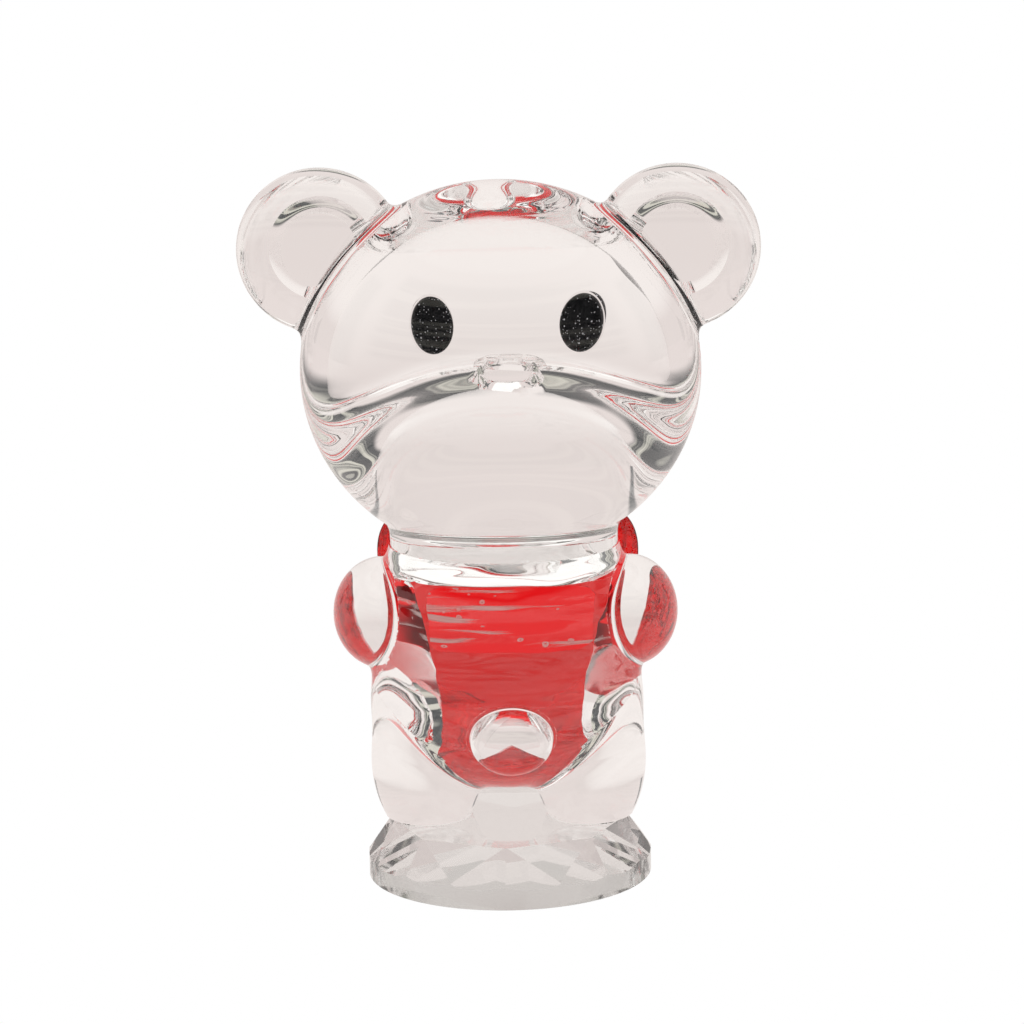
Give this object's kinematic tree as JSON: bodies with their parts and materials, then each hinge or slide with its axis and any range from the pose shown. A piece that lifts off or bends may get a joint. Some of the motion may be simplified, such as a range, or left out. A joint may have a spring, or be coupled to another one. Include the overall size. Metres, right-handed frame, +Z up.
{
  "type": "crystal glass figurine",
  "caption": "Clear crystal glass bear with a red glass heart on its chest, on a round faceted glass disc.",
  "frame": {"origin": "centre of the base disc's flat underside", "axes": "+Z up, +Y the way the bear's face looks, +X the bear's right side"},
  "size_m": [0.0546, 0.0345, 0.0762],
  "materials": {
    "crystal": "clear polished crystal glass",
    "red_glass": "transparent red polished glass",
    "black_eye": "gloss black with fine silver specks",
    "adhesive": "clear cured adhesive with small bubbles"
  },
  "bodies": {
    "root": {"base_disc": "crystal", "torso": "crystal", "head": "crystal", "ear_left": "crystal", "ear_right": "crystal", "arm_left": "crystal", "arm_right": "crystal", "leg_left": "crystal", "leg_right": "crystal", "tail": "crystal", "eye_left": "black_eye", "eye_right": "black_eye", "heart": "red_glass", "bond_neck": "adhesive", "bond_foot_left": "adhesive", "bond_foot_right": "adhesive", "bond_heart": "adhesive"}
  },
  "joints": []
}
